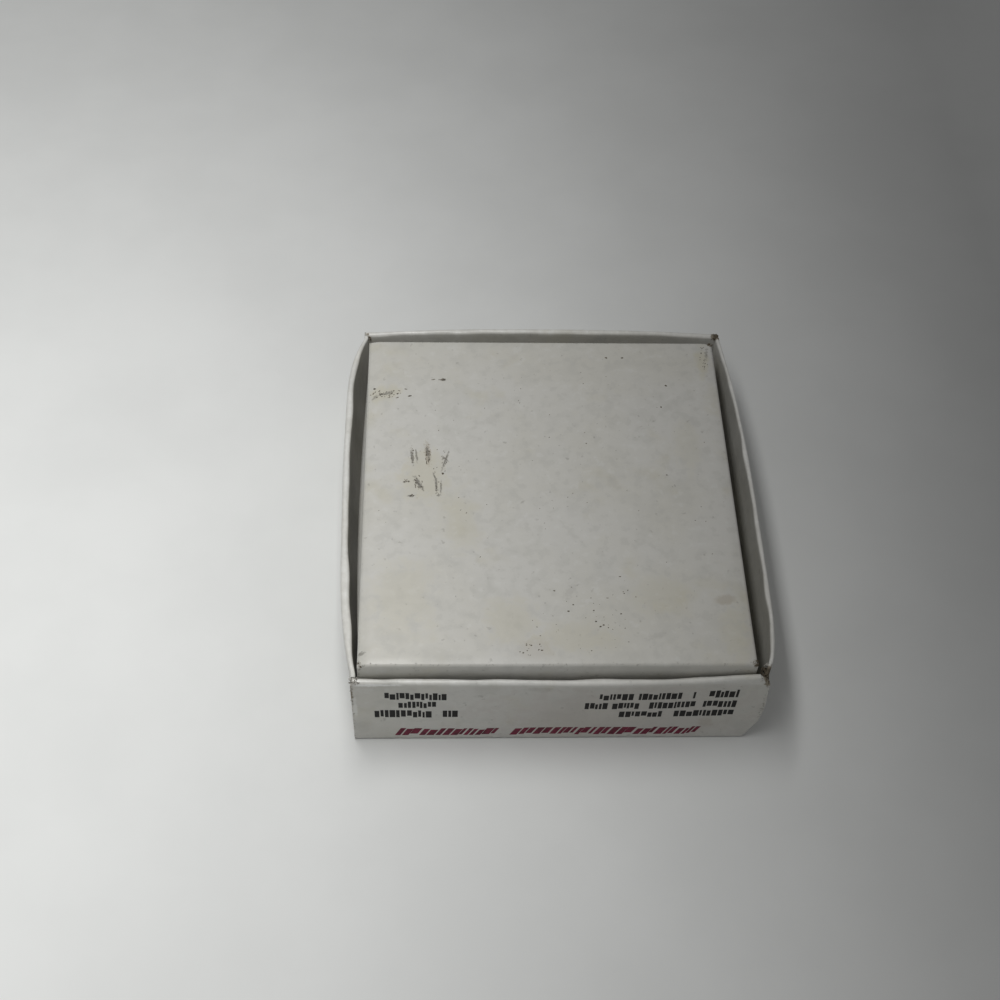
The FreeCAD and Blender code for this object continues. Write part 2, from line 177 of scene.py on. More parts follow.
# ---------------------------------------------------------------- folded walls
class Wall:
    """One folded wall in its sheet's own frame: run along it, depth inwards, level up to the rim."""

    # The card's unevenness builds up over these lengths, from a wall's ends and from its fold.
    FROM_END, FROM_FOLD = 9.0, 4.0
    # Rim waves and the climb of a rim start this far below the rim, and are full this far below it.
    RIM_WAVES, RIM_CLIMB = (5.0, 0.6), (9.0, 1.0)
    # The inner ply starts and is full at these shares of the wall's thickness.
    INNER_PLY = (0.3, 0.7)
    # Share of the outer ply's waves that the inner ply doesn't follow.
    INNER_HELD = 0.6
    # How much faster nicks change across the rim than along it.
    NICK_CROSSING = 3
    # Steps of a section: along each ply that shows, between the plies, and up a flap.
    PLY_STEPS, HIDDEN_STEPS, SINGLE_STEPS, FLAP_STEPS = 26, 14, 20, 12
    # Steps round the outer and the inner side of a fold, and of the rolled rim.
    FOLD_STEPS, RIM_STEPS = (9, 6), (13, 7)

    def __init__(self, sheet, start, along, outward, length, shape):
        self.sheet, self.start, self.length = sheet, np.array(start, float), length
        self.along, self.outward = np.array(along, float), np.array(outward, float)
        self.least, self.spring, self.bow, self.peak, self.fullness, self.taper = shape
        self.height, self.fold, self.zone = sheet.height, sheet.fold, sheet.zone
        brow = self.height - (self.least + self.spring) / 2
        self.knee = self.fold + (brow - self.fold) * sheet.belly
        self.lift = self.squeeze = lambda run: 0.0
        self.wave = Ripple(22, 60, 1.5)
        self.pucker = Ripple(7, 18, 2.5)
        self.rim_wave = Ripple(9, 30)
        self.rim_nick = Ripple(1.6, 5, 0.5)

    def swell(self, run):
        """How far the bow is developed at this run: 0 by the corners, 1 at its peak."""
        part = (run - self.zone) / (self.length - 2 * self.zone)
        if part <= 0 or part >= 1:
            return 0.0
        if part < self.peak:
            return 1 - ((self.peak - part) / self.peak) ** self.fullness
        return 1 - ((part - self.peak) / (1 - self.peak)) ** self.taper

    def rise(self, level):
        """How far the bow is developed at this level: 0 at the fold, 1 at the knee."""
        below = np.clip((level - self.fold) / (self.knee - self.fold), 0, 1)
        above = np.clip((level - self.knee) / (self.height - self.knee), 0, 1)
        return np.sin(np.pi / 2 * below) - self.sheet.settle * (1 - np.cos(np.pi * above)) / 2

    def near_rim(self, level, reach):
        """0 far below the rim and 1 at it, with a rise between the two depths of the reach."""
        return smooth_step(self.height - reach[0], self.height - reach[1], level)

    def place(self, run, depth, level):
        """Positions of points in the section at this run, with the card's own unevenness."""
        depth, level = np.broadcast_arrays(np.asarray(depth, float), np.asarray(level, float))
        sheet, rise, brim = self.sheet, self.rise(level), self.near_rim(level, self.RIM_WAVES)
        calm = smooth_step(0, self.FROM_END, min(run, self.length - run))
        inner = smooth_step(*self.INNER_PLY, depth / self.least)
        out = self.bow * self.swell(run) * rise - depth
        loose = smooth_step(0, self.FROM_FOLD, level - self.fold) * calm
        out = out + sheet.wave * (self.wave(run, level) - 1) * loose * (1 - self.INNER_HELD * inner)
        out = out + sheet.pucker * self.pucker(run, level) * inner * loose
        out = out - self.squeeze(run) * inner * rise
        drop = sheet.rim_wave * (self.rim_wave(run) + 1) * brim * calm
        nick = np.maximum(0, self.rim_nick(run, depth * self.NICK_CROSSING))
        drop = drop + sheet.rim_nick * nick * brim
        points = self.start + self.along * run + np.multiply.outer(out, self.outward)
        points[..., 2] += level - drop + self.lift(run) * self.near_rim(level, self.RIM_CLIMB)
        return points

    def ply(self, first, last, steps, depth, spring=0.0):
        """Depths and levels up or down one side of a ply, pushed out with the bow by the spring."""
        levels = np.linspace(first, last, steps)
        return depth + spring * self.rise(levels), levels

    @staticmethod
    def arc(centre, radius, first, last, steps):
        """Depths and levels round an arc between two angles, in degrees from the inward direction."""
        angles = np.radians(np.linspace(first, last, steps))
        return centre[0] + radius * np.cos(angles), centre[1] + radius * np.sin(angles)

    def folds(self):
        """The bottom fold's outer side, going up, and its inner side, coming back."""
        centre, (outer, inner) = (self.fold, self.fold), self.FOLD_STEPS
        return (
            self.arc(centre, self.fold, 270, 180, outer),
            self.arc(centre, self.fold - CARD, 180, 270, inner),
        )

    @staticmethod
    def joined(parts):
        """One section from its parts, without the points that repeat where they meet."""
        depth, level = (np.concatenate([part[axis] for part in parts]) for axis in (0, 1))
        keep = np.ones(len(depth), bool)
        keep[1:] = np.hypot(np.diff(depth), np.diff(level)) > CLOSE
        return depth[keep], level[keep]

    def rolled_section(self, run):
        """Bottom fold, outer ply, rolled rim and inner ply, and back between them."""
        least, opened = self.least, self.spring * self.swell(run)
        half = (least + opened) / 2
        shoulder, foot = self.height - half, CARD + FOOT_GAP
        (fold_out, fold_in), (outer, inner) = self.folds(), self.RIM_STEPS
        return self.joined([
            fold_out,
            self.ply(self.fold, shoulder, self.PLY_STEPS, 0),
            self.arc((half, shoulder), half, 180, 0, outer),
            self.ply(shoulder, foot, self.PLY_STEPS, least, opened),
            self.ply(foot, shoulder, self.HIDDEN_STEPS, least - CARD, opened),
            self.arc((half, shoulder), half - CARD, 0, 180, inner),
            self.ply(shoulder, self.fold, self.HIDDEN_STEPS, CARD),
            fold_in,
        ])

    def single_section(self, top):
        """The outer ply alone, as it reaches into a corner."""
        fold_out, fold_in = self.folds()
        return self.joined([
            fold_out,
            self.ply(self.fold, top, self.SINGLE_STEPS, 0),
            self.ply(top, self.fold, self.SINGLE_STEPS, CARD),
            fold_in,
        ])

    def flap_section(self):
        """The corner flap of the wall next to this one, tucked between this wall's plies."""
        near, low, high = CARD + SLIT, self.fold + CARD, self.height - 3 * CARD
        return self.joined([
            self.ply(low, high, self.FLAP_STEPS, near),
            self.ply(high, low, self.FLAP_STEPS, near + CARD),
        ])

    def sweep(self, mesh, section, first, last):
        """A closed skin over the sections from the first run to the last."""
        marks = [run for run in self.sheet.marks(self) if first < run < last]
        rows = [self.place(run, *section(run)) for run in (first, *marks, last)]
        mesh.grid(np.stack(rows), closed=True, ends=True)


class Sheet:
    """The lid or the tray: one sheet of card, with the unevenness of its walls."""

    def __init__(self, name, centre, size, shapes, fold, belly, settle, turned, unevenness):
        self.name, self.centre, self.turned = name, np.array(centre, float), turned
        self.across, self.along, self.height = size
        self.fold, self.belly, self.settle = fold, belly, settle
        self.wave, self.pucker, self.rim_wave, self.rim_nick = unevenness
        self.zone = max(shape[0] for shape in shapes.values()) + 2 * CARD
        x, y = self.across / 2, self.along / 2
        self.walls = {
            "front": Wall(self, (-x, -y, 0), (1, 0, 0), (0, -1, 0), self.across, shapes["front"]),
            "right": Wall(self, (x, -y, 0), (0, 1, 0), (1, 0, 0), self.along, shapes["right"]),
            "rear": Wall(self, (x, y, 0), (-1, 0, 0), (0, 1, 0), self.across, shapes["rear"]),
            "left": Wall(self, (-x, y, 0), (0, -1, 0), (-1, 0, 0), self.along, shapes["left"]),
        }

    def marks(self, wall):
        """The same runs on opposite walls, so that the panel's grid meets them all."""
        inner = np.linspace(self.fold, wall.length - self.fold, int(wall.length / MESH_PITCH))
        edge = np.linspace(0, self.fold, 4)[1:-1]
        return np.concatenate([edge, inner, wall.length - edge[::-1]])

    def panel_marks(self, wall):
        """The runs between the folds at a wall's ends, from the wall's middle."""
        marks = self.marks(wall)
        flat = (marks > self.fold - CLOSE) & (marks < wall.length - self.fold + CLOSE)
        return marks[flat] - wall.length / 2

    def panel(self, mesh):
        """Both faces of the panel, up to its folds."""
        grid_x, grid_y = np.meshgrid(
            self.panel_marks(self.walls["front"]), self.panel_marks(self.walls["right"]),
        )
        for level, flip in ((0.0, True), (CARD, False)):
            points = np.stack([grid_x, grid_y, np.full_like(grid_x, level)], -1)
            mesh.grid(points, flip=flip)

    def to_world(self, points):
        """Points of the sheet's own frame at their place, turned over about x if the sheet is."""
        points = points.copy()
        if self.turned:
            points[..., 1:] *= -1
        return points + self.centre

    def build(self, shape_after, **layers):
        """The folded sheet as one piece: panel, four walls, and what reaches into the corners."""
        mesh = Mesh()
        notch = CARD + SLIT
        self.panel(mesh)
        for side, wall in self.walls.items():
            if side in ("front", "rear"):
                first, last = notch, wall.length - notch
                singles, top = ((0, first), (last, wall.length)), self.height - wall.least / 2
                wall.sweep(mesh, lambda run: wall.flap_section(), self.zone, FLAP_LENGTH)
                wall.sweep(
                    mesh, lambda run: wall.flap_section(),
                    wall.length - FLAP_LENGTH, wall.length - self.zone,
                )
            else:
                ends = [self.walls["front"].least + SLIT, self.walls["rear"].least + SLIT]
                ends = ends if side == "right" else ends[::-1]
                first, last = ends[0], wall.length - ends[1]
                singles, top = ((notch, first), (last, wall.length - notch)), self.height - 3 * CARD
            wall.sweep(mesh, wall.rolled_section, first, last)
            for pair in singles:
                wall.sweep(mesh, lambda run: wall.single_section(top), *pair)
        mesh.points = [self.to_world(shape_after(points)) for points in mesh.points]
        return mesh.build(f"{self.name}_card", weld=WELD, sharp=40, **layers)


# ---------------------------------------------------------------- the two sheets
lid_low, lid_high = node_box("lid")
tray_low, tray_high = node_box("tray")
tray_spot = mount("stacking_face")

lid_across = lid_high[0] - lid_low[0] - LID_WALLS["left"][2] - LID_WALLS["right"][2]
lid_along = lid_high[1] - lid_low[1] - LID_WALLS["front"][2] - LID_WALLS["rear"][2]
tray_across = 2 * (tray_spot[0] - tray_low[0] - TRAY_WALLS["left"][2])
tray_along = tray_high[1] - tray_low[1]

lid = Sheet(
    "lid", (0, 0, 0), (lid_across, lid_along, lid_high[2]), LID_WALLS,
    fold=0.8, belly=1.0, settle=0.0, turned=False, unevenness=(0.16, 0.22, 0.10, 0.10),
)
tray = Sheet(
    "tray", tray_spot, (tray_across, tray_along, tray_high[2] - tray_low[2]), TRAY_WALLS,
    fold=0.6, belly=0.25, settle=1.0, turned=True, unevenness=(0.10, 0.08, 0.03, 0.03),
)

PANEL_RIPPLE = Ripple(14, 45)


# Changes of the lid's rims by its front right corner: how far up, and the distances from the corner
# where each one starts and where it is full.  Both rims climb and are torn off, and the right one
# sinks further towards the corner.
FRONT_RIM = (1.2, 17, 3), (-1.5, 1.9, 1.2)
RIGHT_RIM = (0.4, 9, 4.5), (-0.7, 3.9, 3.3), (-0.9, 3, 0.6)
# The left wall's inner ply stands further in: how far, at what run, and over what reach.
PUSHED_IN, PUSHED_AT, PUSHED_OVER = 0.55, 74, 13


def rim_rise(changes, distance):
    """How far a rim stands above its own level, at a distance from the corner."""
    return sum(rise * float(smooth_step(start, full, distance)) for rise, start, full in changes)


lid.walls["left"].squeeze = lambda run: PUSHED_IN * bell(PUSHED_AT, PUSHED_OVER, run)
lid.walls["front"].lift = lambda run: rim_rise(FRONT_RIM, lid_across - run)
lid.walls["right"].lift = lambda run: rim_rise(RIGHT_RIM, run)

# The lid's front right foot was crushed: the card there lies along a plane cut across the corner, so
# far from it across, along and up.  The push sets in softly, and is nothing on the plane itself.
CRUSH_ACROSS, CRUSH_ALONG, CRUSH_UP = 2.4, 9.0, 7.5
CRUSH_SOFTNESS, CRUSH_EASING = 0.25, 0.6
# Above the crushed foot the wall bulges: how far, at what level, and its reach up, along and across.
BULGE, BULGE_LEVEL = 0.45, 13
BULGE_UP, BULGE_ALONG, BULGE_ACROSS = 5, 9, 8


def crush_lid(points):
    """The lid's points with its front right foot crushed and the wall above it bulged out."""
    corner = np.array([lid_across / 2, -lid_along / 2, 0.0])
    on_front = corner + [-CRUSH_ACROSS, 0, 0]
    on_side = corner + [0, CRUSH_ALONG, 0]
    on_edge = corner + [0, 0, CRUSH_UP]
    normal = np.cross(on_side - on_front, on_edge - on_front)
    normal /= np.linalg.norm(normal)
    normal *= np.sign(normal @ (corner - on_front))
    beyond = (points - on_front) @ normal
    push = CRUSH_SOFTNESS * np.logaddexp(0, beyond / CRUSH_SOFTNESS)
    push = push - CRUSH_SOFTNESS * math.log(2) * bell(0, CRUSH_EASING, beyond)
    moved = points - np.maximum(push, 0)[..., None] * normal
    bulge = bell(BULGE_LEVEL, BULGE_UP, points[..., 2]) * bell(corner[1], BULGE_ALONG, points[..., 1])
    moved[..., 0] += BULGE * bulge * smooth_step(BULGE_ACROSS, 0, corner[0] - points[..., 0])
    moved[..., 2] = np.maximum(moved[..., 2], 0)
    return moved


# The tray's panel sags by these depths at its edges and, on top of that, in its middle.
EDGE_SAG, MIDDLE_SAG = 0.02, 0.22
# The middle's sag follows this power of a cosine, and is uneven by this share.
SAG_POWER, SAG_RIPPLE = 0.6, 0.5
# Its folds are worn flat: how deep and how far in, at the sides and at the ends.
SIDE_FLAT, END_FLAT = (0.55, 2.6), (0.18, 1.6)
# Down the walls all this fades out: it is full at one of these distances from the panel and ends
# at the other.
DENT_FULL, DENT_END = 0.5, 2.5


def dent_tray(points):
    """The tray's points with its panel sagging between its folds, and flats along its folds."""
    x, y = points[..., 0], points[..., 1]
    inside = np.clip(np.cos(np.pi * (x / tray.across)), 0, 1)
    inside = inside * np.clip(np.cos(np.pi * (y / tray.along)), 0, 1)
    moved = points.copy()
    near_panel = smooth_step(DENT_END, DENT_FULL, points[..., 2])
    sag = EDGE_SAG + MIDDLE_SAG * inside ** SAG_POWER * (1 + SAG_RIPPLE * PANEL_RIPPLE(x, y))
    flats = (*SIDE_FLAT, tray.across / 2 - abs(x)), (*END_FLAT, tray.along / 2 - abs(y))
    for deep, reach, inward in flats:
        sag = sag + deep * np.clip(1 - inward / reach, 0, 1) ** 2
    moved[..., 2] += near_panel * sag
    return moved


def worn_spots(*spots):
    """Wear from soft spots, each with its middle, its reach along x, y and z, and its strength."""

    def wear(points):
        total = np.zeros(len(points))
        for middle, reach, strength in spots:
            total += strength * np.exp(-(((points - middle) / reach) ** 2).sum(-1))
        return np.clip(total, 0, 1.5)

    return wear


def insets(sheet, points):
    """How far points lie inside the sheet's sides, across and along."""
    return (
        sheet.across / 2 - abs(points[:, 0] - sheet.centre[0]),
        sheet.along / 2 - abs(points[:, 1] - sheet.centre[1]),
    )


# Rubbing along the lid's rims and its foot folds, each with its reach and strength, and how far in
# from the sides the foot's rubbing goes.
RIM_RUB, FOOT_RUB, FOOT_INSET = (0.55, 0.4), (0.6, 0.7), 1.5
# Squared reaches of the rubbing along upright edges, and along the tray's side and end folds.
UPRIGHT_RUB, SIDE_FOLD_RUB, END_FOLD_RUB = 0.8, 0.9, 0.7
# How far down the lid's rolled rims are painted paler, as a painted highlight.
RIM_HIGHLIGHT_REACH = 0.8


def by_edge(first, second, reach_squared):
    """1 on an edge, falling away with the distances from the two faces that meet there."""
    return np.exp(-(first * first + second * second) / reach_squared)


def lid_rub(points):
    """How near a point is to the lid's rims, foot folds and upright edges."""
    across, along = insets(lid, points)
    (rim_reach, rim_strength), (foot_reach, foot_strength) = RIM_RUB, FOOT_RUB
    rim = bell(lid.height, rim_reach, points[:, 2])
    foot = bell(0, foot_reach, points[:, 2]) * (np.minimum(across, along) < FOOT_INSET)
    upright = by_edge(across, along, UPRIGHT_RUB)
    return np.clip(rim_strength * rim + foot_strength * foot + upright, 0, 1)


def lid_crest(points):
    """How near a point is to the lid's rolled rims, which a painted highlight makes paler than its walls."""
    return bell(lid.height, RIM_HIGHLIGHT_REACH, points[:, 2])


def tray_rub(points):
    """How near a point is to the four folds round the tray's top and to its upright edges."""
    across, along = insets(tray, points)
    down = tray_high[2] - points[:, 2]
    side_fold = by_edge(across, down, SIDE_FOLD_RUB)
    end_fold = by_edge(along, down, END_FOLD_RUB)
    return np.clip(side_fold + end_fold + by_edge(across, along, UPRIGHT_RUB), 0, 1)


def bare_face(sheet, dent):
    """1 on the panel's inner face, where the board is not coated; on the lid this dark board is also painted
    shade at the bottom of the gap round the tray.
    """
    tolerance, margin = CARD / 8, 0.1

    def value(points):
        local = (points - sheet.centre) * ([1, -1, -1] if sheet.turned else [1, 1, 1])
        level = local[:, 2] - dent(local * [1, 1, 0])[:, 2]
        inward = np.minimum(*insets(sheet, points))
        return (abs(level - CARD) < tolerance) & (inward > sheet.fold + margin)

    return value


LEFT, RIGHT = -1, 1
FRONT, REAR = -1, 1


def corner_spot(sheet, side, end, in_across, in_along, level):
    """A place near a corner of the lid or the tray, so far in from its sides, at a height."""
    return np.array([
        sheet.centre[0] + side * (sheet.across / 2 - in_across),
        sheet.centre[1] + end * (sheet.along / 2 - in_along),
        level,
    ])


TRAY_TOP = tray_high[2]
lid_wear = worn_spots(
    (corner_spot(lid, RIGHT, FRONT, 0, 1.9, 22.5), (1.7, 2.2, 1.7), 1.5),
    (corner_spot(lid, LEFT, FRONT, 0, 0, 19.5), (0.7, 0.7, 4.0), 0.75),
    (corner_spot(lid, RIGHT, REAR, 0.4, 0.6, 23.2), (1.5, 1.5, 1.3), 1.5),
    (corner_spot(lid, LEFT, REAR, 0.8, 1.2, 23.1), (0.8, 0.8, 0.8), 0.7),
)
tray_wear = worn_spots(
    (corner_spot(tray, LEFT, FRONT, 0, 0, TRAY_TOP), (0.9, 0.9, 0.9), 0.8),
    (corner_spot(tray, RIGHT, FRONT, 0, 0, TRAY_TOP), (1.6, 1.4, 1.3), 0.8),
    (corner_spot(tray, RIGHT, REAR, 0, 0, TRAY_TOP), (1.5, 1.0, 1.2), 1.3),
    (corner_spot(tray, LEFT, REAR, 0, 0, TRAY_TOP), (0.8, 0.8, 0.8), 0.6),
)
lid_piece = lid.build(
    crush_lid, wear=lid_wear, rub=lid_rub, crest=lid_crest, bare=bare_face(lid, crush_lid),
)
tray_piece = tray.build(dent_tray, wear=tray_wear, rub=tray_rub, bare=bare_face(tray, dent_tray))
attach(lid_piece, "lid")
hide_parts("lid")
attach(tray_piece, "tray")
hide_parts("tray")


# ---------------------------------------------------------------- material helpers
class Nodes:
    """A small builder of node materials."""

    # The Mix node's sockets for colours, which share their names with those for numbers.
    MIX_FIRST, MIX_SECOND, MIX_RESULT = 6, 7, 2

    def __init__(self, name):
        self.material = bpy.data.materials.new(name)
        self.material.use_nodes = True
        self.tree = self.material.node_tree
        self.shader = self.tree.nodes["Principled BSDF"]

    def add(self, kind, inputs=None, **settings):
        """A new node with its settings, and its inputs set or linked."""
        node = self.tree.nodes.new(kind)
        for key, value in settings.items():
            setattr(node, key, value)
        for key, value in (inputs or {}).items():
            self.put(node.inputs[key], value)
        return node

    def put(self, socket, value):
        """Link another node's output to a socket, or set the socket to a value."""
        if isinstance(value, bpy.types.NodeSocket):
            self.tree.links.new(value, socket)
        else:
            socket.default_value = value

    def position(self):
        """The place on the object, in metres."""
        return self.add("ShaderNodeTexCoord").outputs["Object"]

    def layer(self, name):
        """A value that the mesh carries at each vertex, and 0 where it has none."""
        return self.add("ShaderNodeAttribute", attribute_name=name).outputs["Fac"]

    def noise(self, vector, size_mm, detail=3.0, roughness=0.55, distortion=0.0):
        """Noise from 0 to 1, with its largest features about this size."""
        node = self.add("ShaderNodeTexNoise", {
            "Vector": vector, "Scale": 1 / (size_mm * MM), "Detail": detail,
            "Roughness": roughness, "Distortion": distortion,
        })
        return node.outputs["Fac"]

    def math(self, operation, first, second=0.0, clamp=False):
        """One step of arithmetic."""
        node = self.add("ShaderNodeMath", {0: first, 1: second}, operation=operation, use_clamp=clamp)
        return node.outputs[0]

    def spread(self, value, low, high, new_low=0.0, new_high=1.0):
        """The range from low to high, smoothly mapped to a new one."""
        node = self.add("ShaderNodeMapRange", {
            "Value": value, "From Min": low, "From Max": high, "To Min": new_low, "To Max": new_high,
        }, interpolation_type="SMOOTHSTEP")
        return node.outputs["Result"]

    def mix(self, factor, first, second):
        """The first colour, and the second where the factor is 1."""
        node = self.add("ShaderNodeMix", {"Factor": factor}, data_type="RGBA")
        self.put(node.inputs[self.MIX_FIRST], first)
        self.put(node.inputs[self.MIX_SECOND], second)
        return node.outputs[self.MIX_RESULT]

    def over(self, colour, tint, cover, strength):
        """The colour with a tint over it, at most as strong as this."""
        return self.mix(self.math("MULTIPLY", cover, strength), colour, tint)

    def roughen(self, value, noise, amount):
        """The value with the noise's ups and downs added to it."""
        return self.math("ADD", value, self.math("MULTIPLY", self.math("SUBTRACT", noise, 0.5), amount))

    def bump(self, height, distance_mm, strength=1.0, normal=None):
        """The normal of a relief, over another normal if there is one."""
        node = self.add("ShaderNodeBump", {
            "Height": height, "Distance": distance_mm * MM, "Strength": strength,
        })
        if normal is not None:
            self.put(node.inputs["Normal"], normal)
        return node.outputs["Normal"]

    def finish(self, colour, roughness, specular, normal):
        """The shader's four main sockets."""
        self.put(self.shader.inputs["Base Color"], colour)
        self.put(self.shader.inputs["Roughness"], roughness)
        self.put(self.shader.inputs["Specular IOR Level"], specular)
        self.put(self.shader.inputs["Normal"], normal)


def soft_patch(nodes, position, centre, reach, turn, noise, ragged):
    """An irregular patch, 1 at its middle, at a place on the object in millimetres, turned about z."""
    local = nodes.add("ShaderNodeMapping", {
        "Vector": position, "Location": Vector(centre) * MM, "Rotation": (0, 0, math.radians(turn)),
        "Scale": Vector(reach) * MM,
    }, vector_type="TEXTURE").outputs["Vector"]
    distance = nodes.add("ShaderNodeVectorMath", {0: local}, operation="LENGTH").outputs["Value"]
    return nodes.spread(nodes.roughen(distance, noise, ragged), 1.0, 0.35)


WHITE = [0.620, 0.612, 0.578, 1]
CREAM = [0.600, 0.588, 0.538, 1]
PALE = [0.670, 0.665, 0.635, 1]
# Near white for the painted highlight on the lid's rolled rims.
HIGHLIGHT_WHITE = [0.860, 0.860, 0.835, 1]
SMOKE = [0.510, 0.505, 0.470, 1]
YELLOW = [0.560, 0.530, 0.415, 1]
BROWN = [0.330, 0.270, 0.190, 1]
ROSY = [0.420, 0.370, 0.340, 1]
GREY = [0.225, 0.215, 0.190, 1]
SOOT = [0.120, 0.110, 0.095, 1]
CHALK = [0.80, 0.80, 0.77, 1]
# Near white for the painted highlight on the front rim's left end.
HIGHLIGHT_BRIGHT = [0.92, 0.92, 0.90, 1]
# Each pair is the darkest and the palest tone: torn fibres; fibres in the deepest wear, near black as
# painted shade in the torn hollows; bare board, also painted shade at the bottom of the gap round the tray.
FIBRES = [0.17, 0.14, 0.10, 1], [0.44, 0.40, 0.33, 1]
DEEP_FIBRES_AND_SHADE = [0.035, 0.03, 0.022, 1], [0.20, 0.165, 0.12, 1]
BARE_BOARD_AND_SHADE = [0.15, 0.14, 0.12, 1], [0.24, 0.225, 0.195, 1]


def card_material(name, stains_and_highlights=(), smears=()):
    """Coated white board: mottled, smeared, paler on the lid's rims as a painted highlight, rubbed at its
    folds, worn to brown fibres where it is torn, near black in the deepest tears as painted shade, and dark
    bare board on the panels' inner faces, also painted shade in the lid's gap.
    """
    nodes = Nodes(name)
    at = nodes.position()
    middle, fine = nodes.noise(at, 5, detail=5), nodes.noise(at, 0.35, detail=2)
    coarse, grain = nodes.noise(at, 2.2, detail=4), nodes.noise(at, 0.55, detail=3)

    colour = nodes.mix(nodes.spread(nodes.noise(at, 28), 0.38, 0.66), WHITE, CREAM)
    # Each tint lies where its noise passes from the first value to the second, with this strength.
    for noise, low, high, tint, strength in (
        (middle, 0.46, 0.68, SMOKE, 0.36),
        (coarse, 0.52, 0.66, SMOKE, 0.38),
        (nodes.noise(at, 11), 0.55, 0.75, YELLOW, 0.40),
        (nodes.noise(at, 1.5, detail=2), 0.66, 0.76, GREY, 0.34),
        (coarse, 0.44, 0.30, PALE, 0.42),
    ):
        colour = nodes.over(colour, tint, nodes.spread(noise, low, high), strength)
    # Stains and smears, and on the lid a painted highlight on the front rim.
    for patches, noise, ragged in ((stains_and_highlights, coarse, 1.6), (smears, grain, 2.0)):
        for centre, reach, turn, tint, strength in patches:
            patch = soft_patch(nodes, at, centre, reach, turn, noise, ragged)
            colour = nodes.over(colour, tint, patch, strength)
    # Painted highlight: the lid's rolled rims are mixed towards near white.
    colour = nodes.over(colour, HIGHLIGHT_WHITE, nodes.layer("crest"), nodes.spread(coarse, 0.3, 0.6, 0.65, 0.35))

    scratch = nodes.spread(nodes.roughen(nodes.layer("rub"), grain, 2.2), 0.95, 1.25)
    scratch = nodes.math("MULTIPLY", scratch, 0.55)
    colour = nodes.mix(scratch, colour, GREY)
    wear = nodes.layer("wear")
    torn = nodes.spread(nodes.roughen(wear, nodes.noise(at, 0.8, detail=5), 1.1), 0.38, 0.62)
    fibre_and_shade = nodes.mix(nodes.noise(at, 0.3, detail=3), *FIBRES)
    # In the deepest wear the torn fibres go near black, partly painted shade in the torn hollows.
    fibre_and_shade = nodes.mix(nodes.spread(wear, 0.6, 1.1), fibre_and_shade, nodes.mix(grain, *DEEP_FIBRES_AND_SHADE))
    colour = nodes.mix(torn, colour, fibre_and_shade)
    # Dark bare board on the panels' inner faces; on the lid it is also painted shade at the bottom of the
    # gap round the tray.
    bare = nodes.layer("bare")
    colour = nodes.mix(bare, colour, nodes.mix(grain, *BARE_BOARD_AND_SHADE))

    rough = nodes.math("MAXIMUM", torn, scratch)
    gloss = nodes.spread(middle, 0.3, 0.75, 0.30, 0.46)
    matt = nodes.math("MULTIPLY", nodes.math("MAXIMUM", rough, bare), 0.95)
    normal = nodes.bump(nodes.noise(at, 9, detail=2), 0.3, 0.5)
    normal = nodes.bump(fine, 0.02, 0.35, normal)
    normal = nodes.bump(nodes.math("MULTIPLY", rough, grain), 0.2, 0.8, normal)
    nodes.finish(colour, nodes.math("MAXIMUM", gloss, matt), 0.45, normal)
    return nodes.material


def plain_material(name, dark, light, size_mm, roughness, grain_mm=0.05, specular=0.3):
    """A matt surface mottled between two colours, with a little relief."""
    nodes = Nodes(name)
    mottle = nodes.noise(nodes.position(), size_mm, detail=4)
    colour = nodes.mix(nodes.spread(mottle, 0.3, 0.7), dark, light)
    dullness = nodes.spread(mottle, 0.2, 0.8, roughness - 0.1, roughness + 0.1)
    nodes.finish(colour, dullness, specular, nodes.bump(mottle, grain_mm, 0.6))
    return nodes.material


def on_tray(x, y):
    """A place on the tray's top face, from its centre."""
    return (tray_spot[0] + x, tray_spot[1] + y, TRAY_TOP)


# Stains: middle, reach along x, y and z, direction in degrees, colour and strength.
TRAY_STAINS = (
    (on_tray(-27.0, 4.0), (7.0, 9.0, 3.0), 0, YELLOW, 0.50),
    (on_tray(-36.0, 27.0), (5.0, 3.0, 3.0), 20, YELLOW, 0.55),
    (on_tray(-31.0, -27.0), (9.0, 12.0, 3.0), 0, YELLOW, 0.30),
    (on_tray(-19.0, -9.0), (5.0, 10.0, 3.0), 10, YELLOW, 0.28),
    (on_tray(4.0, -37.0), (11.0, 4.5, 3.0), 0, YELLOW, 0.38),
    (on_tray(22.0, -27.0), (8.0, 6.0, 3.0), 0, YELLOW, 0.28),
    (on_tray(31.0, 12.0), (4.0, 11.0, 3.0), 0, YELLOW, 0.24),
    (on_tray(-9.0, -33.0), (7.0, 8.0, 3.0), 0, YELLOW, 0.38),
    (on_tray(36.0, -36.0), (4.0, 9.0, 3.0), 0, YELLOW, 0.35),
    (on_tray(36.8, 37.5), (2.2, 6.0, 3.0), 0, YELLOW, 0.6),
    (on_tray(34.6, -28.0), (2.8, 1.6, 2.0), 10, BROWN, 0.34),
    (on_tray(-4.5, -39.5), (5.0, 3.0, 2.0), 0, BROWN, 0.14),
)
